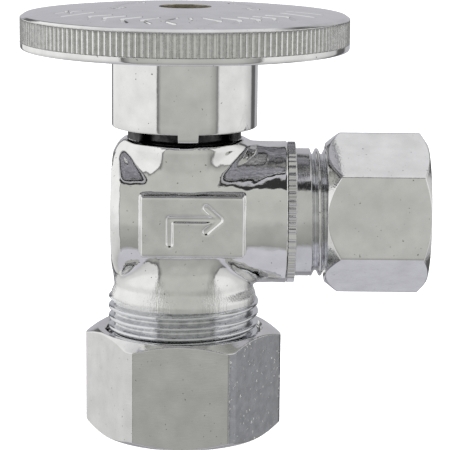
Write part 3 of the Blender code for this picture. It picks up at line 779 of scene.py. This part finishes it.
def blend(tree, factor, a, b, mode="MIX"):
    """A colour between two, each a socket or (red, green, blue)."""
    made = tree.nodes.new("ShaderNodeMix")
    made.data_type = "RGBA"
    made.blend_type = mode
    feed(tree, factor, made.inputs[0])
    feed(tree, a, made.inputs[6])
    feed(tree, b, made.inputs[7])
    return made.outputs[2]


# Materials

class Finish:
    """A Principled material with short calls for the nodes that drive it."""

    def __init__(self, name, metallic, roughness):
        self.material = bpy.data.materials.new(name)
        self.material.use_nodes = True
        self.tree = self.material.node_tree
        self.shader = self.tree.nodes["Principled BSDF"]
        self.shader.inputs["Metallic"].default_value = metallic
        self.shader.inputs["Roughness"].default_value = roughness
        place = self.tree.nodes.new("ShaderNodeTexCoord")
        scale = self.tree.nodes.new("ShaderNodeMapping")
        scale.inputs["Scale"].default_value = (1000, 1000, 1000)
        self.tree.links.new(place.outputs["Object"], scale.inputs["Vector"])
        self.position = scale.outputs["Vector"]

    def join(self, source, target):
        self.tree.links.new(source, target)

    def stretched(self, scale):
        """The position in millimetres, stretched by a scale for each axis."""
        made = self.tree.nodes.new("ShaderNodeMapping")
        made.inputs["Scale"].default_value = scale
        self.join(self.position, made.inputs["Vector"])
        return made.outputs["Vector"]

    def warped(self, amount):
        """The position in millimetres, pushed about so that spots lose their round shape."""
        noise = self.tree.nodes.new("ShaderNodeTexNoise")
        noise.inputs["Scale"].default_value = 3.0
        noise.inputs["Detail"].default_value = 3.0
        self.join(self.position, noise.inputs["Vector"])
        made = self.tree.nodes.new("ShaderNodeVectorMath")
        made.operation = "MULTIPLY_ADD"
        self.join(noise.outputs["Color"], made.inputs[0])
        made.inputs[1].default_value = (amount, amount, amount)
        self.join(self.position, made.inputs[2])
        return made.outputs["Vector"]

    def noise(self, scale, detail=2.0, position=None):
        """Even noise of a scale per millimetre."""
        made = self.tree.nodes.new("ShaderNodeTexNoise")
        made.inputs["Scale"].default_value = scale
        made.inputs["Detail"].default_value = detail
        self.join(position or self.position, made.inputs["Vector"])
        return made.outputs["Fac"]

    def spots(self, scale, size, position=None):
        """1 on small scattered spots and 0 elsewhere."""
        cells = self.tree.nodes.new("ShaderNodeTexVoronoi")
        cells.inputs["Scale"].default_value = scale
        self.join(position or self.position, cells.inputs["Vector"])
        return self.between(cells.outputs["Distance"], size, size * 0.6)

    def between(self, value, low, high, to_low=0.0, to_high=1.0):
        """Maps a range of a value onto another range, held at its ends."""
        made = self.tree.nodes.new("ShaderNodeMapRange")
        made.inputs["From Min"].default_value = low
        made.inputs["From Max"].default_value = high
        made.inputs["To Min"].default_value = to_low
        made.inputs["To Max"].default_value = to_high
        self.join(value, made.inputs["Value"])
        return made.outputs["Result"]

    def math(self, operation, a, b):
        return calculate(self.tree, operation, a, b)

    def mix(self, factor, a, b):
        return blend(self.tree, factor, a, b)

    def bump(self, height, distance, strength=1.0):
        """Adds relief, in metres, on top of any that is there."""
        made = self.tree.nodes.new("ShaderNodeBump")
        made.inputs["Strength"].default_value = strength
        made.inputs["Distance"].default_value = distance
        self.join(height, made.inputs["Height"])
        normal = self.shader.inputs["Normal"]
        if normal.is_linked:
            self.join(normal.links[0].from_socket, made.inputs["Normal"])
        self.join(made.outputs["Normal"], normal)

    def colour(self, value):
        self.join(value, self.shader.inputs["Base Color"])

    def roughness(self, value):
        self.join(value, self.shader.inputs["Roughness"])


def chrome(name, base, smoothness, ripple, pits, marks=None, worked=None):
    """Bright plating: uneven polish, slight ripple, pits, and fine marks along one way."""
    made = Finish(name, 1.0, smoothness)
    broad = made.noise(0.35, 3.0)
    fine = made.noise(2.6, 4.0)
    dark = tuple(0.86 * c for c in base)
    shade = made.mix(made.between(broad, 0.3, 0.7), dark, base)
    crowd = made.between(made.noise(0.45), 0.55 - pits, 0.58)
    speck = made.math("MULTIPLY", made.spots(1.2, 0.13, made.warped(0.5)), crowd)
    made.colour(made.mix(speck, shade, (0.30, 0.29, 0.28)))
    polish = made.between(fine, 0.35, 0.75, smoothness * 0.5, smoothness * 2.0)
    made.roughness(made.math("MAXIMUM", polish, made.math("MULTIPLY", speck, 0.45)))
    made.bump(made.noise(1.1, 3.0), 0.0001, ripple)
    made.bump(speck, 0.00006, -0.5)
    if marks is not None:
        made.bump(made.noise(1.0, 3.0, made.stretched(marks)), 0.00002, 0.5)
    if worked is not None:
        add_tool_marks(made, *worked)
    return made.material


def add_tool_marks(made, low, high):
    """Upright scratches that fade out between two heights."""
    split = made.tree.nodes.new("ShaderNodeSeparateXYZ")
    made.join(made.position, split.inputs["Vector"])
    amount = made.between(split.outputs["Z"], low, high, 1.0, 0.0)
    streaks = made.between(made.noise(1.0, 4.0, made.stretched((7, 7, 0.35))), 0.35, 0.65)
    made.bump(made.math("MULTIPLY", streaks, amount), 0.00006, 0.3)


def scuffed_and_shaded_chrome():
    """Dull bluish plating with pale scuffs, where a wrench has been; its darkness is painted shade."""
    made = Finish("scuffed_and_shaded_chrome", 1.0, 0.12)
    broad = made.between(made.noise(0.8, 4.0), 0.3, 0.7)
    tint = made.mix(broad, (0.33, 0.335, 0.355), (0.43, 0.435, 0.46))
    crowd = made.between(made.noise(0.6, 2.0), 0.40, 0.56)
    scuff = made.math("MULTIPLY", made.spots(1.3, 0.26, made.warped(0.8)), crowd)
    made.colour(made.mix(scuff, tint, (0.98, 0.98, 0.98)))
    made.roughness(made.between(scuff, 0.0, 1.0, 0.12, 0.5))
    made.bump(made.noise(2.0, 4.0), 0.00006, 0.35)
    made.bump(scuff, 0.00005, 0.5)
    return made.material


def plain_finish(name, metallic, dark, light, roughnesses, scale, relief):
    """A finish that varies a little in colour and roughness, with a grain."""
    made = Finish(name, metallic, roughnesses[0])
    grain = made.noise(scale, 4.0)
    made.colour(made.mix(made.between(grain, 0.3, 0.7), dark, light))
    made.roughness(made.between(made.noise(scale * 0.3), 0.3, 0.7, *roughnesses))
    made.bump(grain, 0.00004, relief)
    return made.material


def metal(name, dark, light, roughnesses, scale, relief):
    """A plain finish of bare or thinly plated metal."""
    return plain_finish(name, 1.0, dark, light, roughnesses, scale, relief)


def dull(name, dark, light, roughnesses, scale, relief):
    """A plain finish of plastic or rubber."""
    return plain_finish(name, 0.0, dark, light, roughnesses, scale, relief)


def grey(value):
    """A neutral colour."""
    return (value, value, value)


BODY_CHROME = chrome("body_chrome", (0.93, 0.93, 0.92), 0.045, 0.10, 0.05, None, (19.6, 23.0))
THREAD_CHROME = chrome("thread_chrome", (0.82, 0.83, 0.855), 0.12, 0.14, 0.02, (0.4, 0.4, 9))
ADAPTER_CHROME = chrome("adapter_chrome", grey(0.84), 0.09, 0.10, 0.03, (9, 0.4, 0.4))
HANDLE_CHROME = chrome("handle_chrome", (0.93, 0.93, 0.925), 0.04, 0.05, 0.03)
INLET_NUT_CHROME = chrome("inlet_nut_chrome", (0.84, 0.84, 0.835), 0.06, 0.10, 0.12, (1.2, 1.2, 7))
OUTLET_NUT_CHROME = chrome("outlet_nut_chrome", (0.90, 0.90, 0.895), 0.05, 0.06, 0.05, (3, 0.6, 6))
# Painted shade: one flat of the inlet nut is darker and bluish, with pale scuffs of wear on it.
SCUFFED_AND_SHADED_CHROME = scuffed_and_shaded_chrome()
KNURL_CHROME = metal("knurl_chrome", (0.80, 0.80, 0.79), (0.94, 0.94, 0.93), (0.08, 0.16), 2.0, 0.2)
# Painted shade: the knurl's groove sides and ledges are darker than its crests.
PAINTED_KNURL_SHADE = metal("knurl_side", (0.50, 0.50, 0.49), (0.68, 0.68, 0.665), (0.15, 0.28), 2.0, 0.2)
# Dirt and painted shade: the thread grooves are darker than the crests.
THREAD_ROOT_DIRT_AND_SHADE = metal("thread_root_dirt_and_shade", (0.60, 0.605, 0.62), (0.84, 0.845, 0.86), (0.10, 0.20), 1.2, 0.2)
# Painted shade: near-black for the gap under the handle's skirt, the corner of its recess and the inside
# of the skirt, where shade falls.
PAINTED_GAP_SHADE = metal("painted_gap_shade", grey(0.035), (0.12, 0.12, 0.125), (0.35, 0.6), 1.2, 0.4)
# Painted shade: the screw hole's wall and floor are dark, with a brownish tone.
HOLE_WALL_SHADE = metal("brownish_hole_shade", (0.30, 0.27, 0.20), (0.48, 0.45, 0.37), (0.28, 0.45), 1.2, 0.3)
# Painted shade: darker, mottled grey for the handle's recess and the inside of its skirt, which lie in
# shadow.
PAINTED_UNDERSIDE_SHADE = metal("painted_underside_shade", (0.24, 0.24, 0.25), (0.72, 0.72, 0.735), (0.15, 0.32), 0.7, 0.6)
BALL_CHROME = metal("ball_chrome", grey(0.80), grey(0.88), (0.05, 0.12), 2.0, 0.05)
BRASS = metal("bare_brass", (0.62, 0.43, 0.19), (0.76, 0.56, 0.29), (0.16, 0.32), 3.0, 0.25)
STEEL = metal("screw_steel", grey(0.42), (0.58, 0.58, 0.57), (0.22, 0.40), 4.0, 0.25)
PTFE = dull("white_ptfe", (0.80, 0.80, 0.77), (0.90, 0.90, 0.88), (0.30, 0.45), 3.0, 0.15)
RUBBER = dull("black_rubber", grey(0.018), grey(0.045), (0.45, 0.65), 5.0, 0.3)


def finish_piece(piece, material, body, slot, *nodes):
    """Gives a piece its material and body, and says which CAD nodes it stands for."""
    piece.data.materials.append(material)
    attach(piece, body)
    if nodes:
        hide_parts(*nodes)
    return piece


def finish_node(name, material):
    """Gives a CAD node that stays in view its procedural material."""
    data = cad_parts[name].data
    data.materials.clear()
    data.materials.append(material)


def paint(piece, material, chosen):
    """Gives a material to the faces that a test picks by radius, height, azimuth and normal."""
    piece.data.materials.append(material)
    slot = len(piece.data.materials) - 1
    for face in piece.data.polygons:
        x, y, z = face.center / MM
        if chosen(math.hypot(x, y), z, math.degrees(math.atan2(y, x)), face.normal):
            face.material_index = slot


def on_underside(radius, height, azimuth, normal):
    """The handle's recess and the inside of its skirt, painted darker as shade."""
    recess = normal.z < -0.2 and 10.6 < radius < 18.3 and height > 50
    return recess or (radius < 8.9 and 47 < height < 52)


def in_recess_corner(radius, height, azimuth, normal):
    """The corner between the handle's rim and its recess, painted near-black as shade."""
    return 18.9 < radius < 19.85 and 52.9 < height < 54.6


def in_knurl(radius, height, azimuth, normal):
    """The knurled band of the handle's rim."""
    return radius > HANDLE_RADIUS - 0.5 and KNURL_BOTTOM - 0.06 < height < KNURL_TOP + 0.1


def on_knurl_side(radius, height, azimuth, normal):
    """The steep sides and ends of the knurl's grooves, painted darker as shade."""
    if not in_knurl(radius, height, azimuth, normal):
        return False
    turn = math.radians(azimuth)
    return normal.x * math.cos(turn) + normal.y * math.sin(turn) < 0.90


def in_inlet_root(radius, height, azimuth, normal):
    """The grooves of the inlet thread, darkened for dirt and as painted shade."""
    return 9.0 < radius < 9.74


def in_outlet_root(radius, height, azimuth, normal):
    """The grooves of the outlet thread, by distance from the outlet's axis, darkened for dirt and as
    painted shade.
    """
    across = radius * math.cos(math.radians(azimuth))
    reach = math.hypot(radius * math.sin(math.radians(azimuth)), height - OUTLET_HEIGHT)
    return across > 17.2 and 7.7 < reach < 8.26


def in_screw_hole(radius, height, azimuth, normal):
    """The wall and floor of the hole for the handle's screw, painted dark brownish as shade."""
    return radius < 3.62 and 52.5 < height < HANDLE_HIGH[2] - 0.04


def in_stem_gap(radius, height, azimuth, normal):
    """The tower and the stop rim, which sit in the gap under the handle's skirt, painted near-black as
    shade.
    """
    return radius < 7.75 and height > SHOULDER - 0.4


def in_skirt(radius, height, azimuth, normal):
    """The inside of the handle's skirt, painted near-black as shade."""
    return radius < 9.0 and 42.2 < height < 50.5


def on_scuffed_and_shaded_flat(radius, height, azimuth, normal):
    """The flat of the inlet nut that faces front and right, darkened as painted shade and scuffed."""
    return -62 < azimuth < -2 and radius > 11.4 and abs(normal.z) < 0.3


INNER_FINISHES = {
    "ball": BALL_CHROME,
    "stem": BRASS,
    "handle_screw_lock_washer": STEEL,
    "outlet_seat": PTFE,
    "back_seat": PTFE,
    "stem_thrust_washer": PTFE,
    "outlet_seat_o_ring": RUBBER,
    "back_seat_o_ring": RUBBER,
    "adapter_seal_ring": RUBBER,
    "stem_o_ring_lower": RUBBER,
    "stem_o_ring_upper": RUBBER,
}


def make_valve():
    """Every visible piece of the valve."""
    body = finish_piece(make_body(), BODY_CHROME, "housing", "body_chrome", "valve_body")
    paint(body, PAINTED_GAP_SHADE, in_stem_gap)
    thread = finish_piece(make_inlet_thread(), THREAD_CHROME, "housing", "body_chrome", "valve_body")
    paint(thread, THREAD_ROOT_DIRT_AND_SHADE, in_inlet_root)
    adapter = finish_piece(make_adapter(), ADAPTER_CHROME, "housing", "body_chrome", "outlet_adapter")
    paint(adapter, THREAD_ROOT_DIRT_AND_SHADE, in_outlet_root)
    handle = finish_piece(make_handle(), HANDLE_CHROME, "spindle", "handle_chrome", "handle")
    paint(handle, PAINTED_UNDERSIDE_SHADE, on_underside)
    paint(handle, KNURL_CHROME, in_knurl)
    paint(handle, PAINTED_KNURL_SHADE, on_knurl_side)
    paint(handle, PAINTED_GAP_SHADE, in_recess_corner)
    paint(handle, PAINTED_GAP_SHADE, in_skirt)
    paint(handle, HOLE_WALL_SHADE, in_screw_hole)
    finish_piece(make_screw(), STEEL, "spindle", "screw_steel", "handle_screw")
    nut = finish_piece(make_inlet_nut(), INLET_NUT_CHROME, "inlet_union", "nut_chrome", "inlet_nut")
    paint(nut, SCUFFED_AND_SHADED_CHROME, on_scuffed_and_shaded_flat)
    finish_piece(make_outlet_nut(), OUTLET_NUT_CHROME, "outlet_union", "nut_chrome", "outlet_nut")

    inlet_ends = (INLET_SLEEVE_LOW[2], INLET_SLEEVE_HIGH[2])
    inlet = make_sleeve("inlet_sleeve_shell", INLET_SLEEVE_RADII, inlet_ends, upright)
    finish_piece(inlet, BRASS, "inlet_ferrule", "bare_brass", "inlet_sleeve")
    outlet_ends = (OUTLET_SLEEVE_LOW[0], OUTLET_SLEEVE_HIGH[0])
    outlet = make_sleeve("outlet_sleeve_shell", OUTLET_SLEEVE_RADII, outlet_ends, outwards)
    finish_piece(outlet, BRASS, "outlet_ferrule", "bare_brass", "outlet_sleeve")

    for name, material in INNER_FINISHES.items():
        finish_node(name, material)


# Studio

# The floor lies low enough for the inlet nut when it is spun right off.
FLOOR_DROP = 7.3
FLOOR_RADIUS = 700
FLOOR_COLUMNS = 96
WALL_CURVE = 200
WALL_TOP = 1400


def make_floor():
    """A plain pale floor that runs up into a wall all round, unseen in the chrome."""
    profile = [(0, 0)]
    for angle in np.linspace(0, math.pi / 2, 25):
        reach = FLOOR_RADIUS + WALL_CURVE * math.sin(angle)
        profile.append((reach, WALL_CURVE * (1 - math.cos(angle))))
    profile.append((FLOOR_RADIUS + WALL_CURVE, WALL_TOP))
    radius, height = np.array(profile).T
    turn = np.linspace(0, 2 * math.pi, FLOOR_COLUMNS, endpoint=False)
    x, y = np.outer(radius, np.cos(turn)), np.outer(radius, np.sin(turn))
    z = np.repeat((height - FLOOR_DROP)[:, None], FLOOR_COLUMNS, axis=1)
    points = np.stack([x, y, z], axis=-1).reshape(-1, 3)
    faces = ring_faces(len(profile), FLOOR_COLUMNS)[:-FLOOR_COLUMNS]
    floor = mesh_object("studio_floor", points, faces)
    made = Finish("studio_floor", 0.0, 0.8)
    grain = made.noise(0.01, 3.0)
    made.colour(made.mix(made.between(grain, 0.3, 0.7), (0.62, 0.62, 0.62), (0.64, 0.64, 0.64)))
    made.shader.inputs["Emission Color"].default_value = (1, 1, 1, 1)
    made.shader.inputs["Emission Strength"].default_value = 0.62
    floor.data.materials.append(made.material)
    floor.visible_glossy = False


def ramp(tree, value, stops):
    """A colour along (position, (red, green, blue)) stops, picked by a value."""
    made = tree.nodes.new("ShaderNodeValToRGB")
    elements = made.color_ramp.elements
    while len(elements) > 1:
        elements.remove(elements[-1])
    elements[0].position = stops[0][0]
    elements[0].color = (*stops[0][1], 1)
    for position, colour in stops[1:]:
        elements.new(position).color = (*colour, 1)
    tree.links.new(value, made.inputs["Fac"])
    return made.outputs["Color"]


# What the chrome reflects, by azimuth in degrees from the front and by elevation
LAVENDER = (0.50, 0.50, 0.535)
WARM_GREY = (0.535, 0.54, 0.51)
SOFTBOX_LEFT = (0.92, 0.92, 0.915)
SOFTBOX_RIGHT = (0.85, 0.85, 0.845)
LINE = (0.13, 0.13, 0.13)
ROUND_STOPS = (
    (-180, LAVENDER), (-163, LAVENDER), (-160, LINE), (-155, LINE), (-152, SOFTBOX_LEFT),
    (-44, SOFTBOX_LEFT), (-42, LINE), (-39, (0.36, 0.36, 0.35)), (-36, WARM_GREY), (40, WARM_GREY),
    (50, (0.40, 0.40, 0.385)), (54, (0.22, 0.22, 0.22)), (57, SOFTBOX_RIGHT), (106, SOFTBOX_RIGHT),
    (128, (0.60, 0.60, 0.60)), (133, LINE), (146, LINE), (150, (0.50, 0.50, 0.52)), (180, LAVENDER),
)
DIM_STOPS = ((-90, 0.55), (-50, 0.58), (-30, 0.74), (-15, 0.80), (-7, 0.95), (0, 1.0), (90, 1.0))
COVER_STOPS = ((-90, 1), (-58, 1), (-50, 0), (46, 0), (56, 1), (90, 1))
STRIP_STOPS = ((-90, 0), (48, 0), (50, 1), (66, 1), (68, 0), (90, 0))
CEILING = (0.76, 0.76, 0.775)
BELOW = (0.57, 0.57, 0.62)
STRIP = (0.035, 0.035, 0.035)
CAP_STOPS = ((0.0, BELOW), (0.45, BELOW), (0.55, CEILING), (1.0, CEILING))
STRIP_START = 0.22
STRIP_FADE = 12.0


def by_azimuth(stops):
    """Ramp stops from (azimuth in degrees, colour) pairs."""
    return [((azimuth + 180) / 360, colour) for azimuth, colour in stops]


def by_elevation(stops):
    """Ramp stops from (elevation in degrees, value) pairs."""
    return [((elevation + 90) / 180, (value, value, value)) for elevation, value in stops]


def make_world():
    """Soft studio light by direction: white boxes at both sides of a warm grey front."""
    world = bpy.data.worlds.new("studio")
    bpy.context.scene.world = world
    world.use_nodes = True
    tree = world.node_tree
    place = tree.nodes.new("ShaderNodeTexCoord")
    split = tree.nodes.new("ShaderNodeSeparateXYZ")
    tree.links.new(place.outputs["Generated"], split.inputs["Vector"])
    towards_front = calculate(tree, "MULTIPLY", split.outputs["Y"], -1.0)
    turn = calculate(tree, "ARCTAN2", split.outputs["X"], towards_front)
    share = calculate(tree, "ADD", calculate(tree, "DIVIDE", turn, 2 * math.pi), 0.5)
    height = calculate(tree, "ARCSINE", split.outputs["Z"])
    level = calculate(tree, "ADD", calculate(tree, "DIVIDE", height, math.pi), 0.5)

    around = ramp(tree, share, by_azimuth(ROUND_STOPS))
    dim = ramp(tree, level, by_elevation(DIM_STOPS))
    sides = blend(tree, 1.0, around, dim, "MULTIPLY")
    caps = ramp(tree, level, CAP_STOPS)
    cover = ramp(tree, level, by_elevation(COVER_STOPS))
    walls = blend(tree, cover, sides, caps)
    past_start = calculate(tree, "SUBTRACT", towards_front, STRIP_START)
    front = calculate(tree, "MULTIPLY", past_start, STRIP_FADE, clamp=True)
    strip = ramp(tree, level, by_elevation(STRIP_STOPS))
    dark = calculate(tree, "MULTIPLY", strip, front)
    background = tree.nodes["Background"]
    tree.links.new(blend(tree, dark, walls, STRIP), background.inputs["Color"])
    background.inputs["Strength"].default_value = 1.0


def make_lights():
    """One large soft light overhead for the floor and the dull pieces."""
    data = bpy.data.lights.new("overhead", "AREA")
    data.shape = "RECTANGLE"
    data.size = 0.6
    data.size_y = 0.5
    data.energy = 4.0
    light = bpy.data.objects.new("overhead", data)
    light.location = (-0.10, -0.15, 0.75)
    light.rotation_euler = (math.radians(11), math.radians(-7), 0)
    light.visible_glossy = False
    bpy.context.scene.collection.objects.link(light)


CAMERA_PLACE = (0.00561, -0.26946, 0.08123)
CAMERA_LENS = 160.5
CAMERA_TILT = math.radians(-11.06)
CAMERA_ROLL = math.radians(0.55)


def make_camera():
    """A long lens from the front, slightly above."""
    data = bpy.data.cameras.new("camera")
    data.sensor_width = 36
    data.lens = CAMERA_LENS
    data.clip_start = 0.01
    data.clip_end = 10
    camera = bpy.data.objects.new("camera", data)
    camera.location = CAMERA_PLACE
    aim = Euler((math.pi / 2 + CAMERA_TILT, 0, 0)).to_matrix()
    roll = Matrix.Rotation(CAMERA_ROLL, 3, "Z")
    camera.rotation_euler = (aim @ roll).to_euler()
    bpy.context.scene.collection.objects.link(camera)
    bpy.context.scene.camera = camera


make_camera()
make_valve()
make_floor()
make_world()
make_lights()
bpy.context.scene.view_settings.view_transform = "Standard"
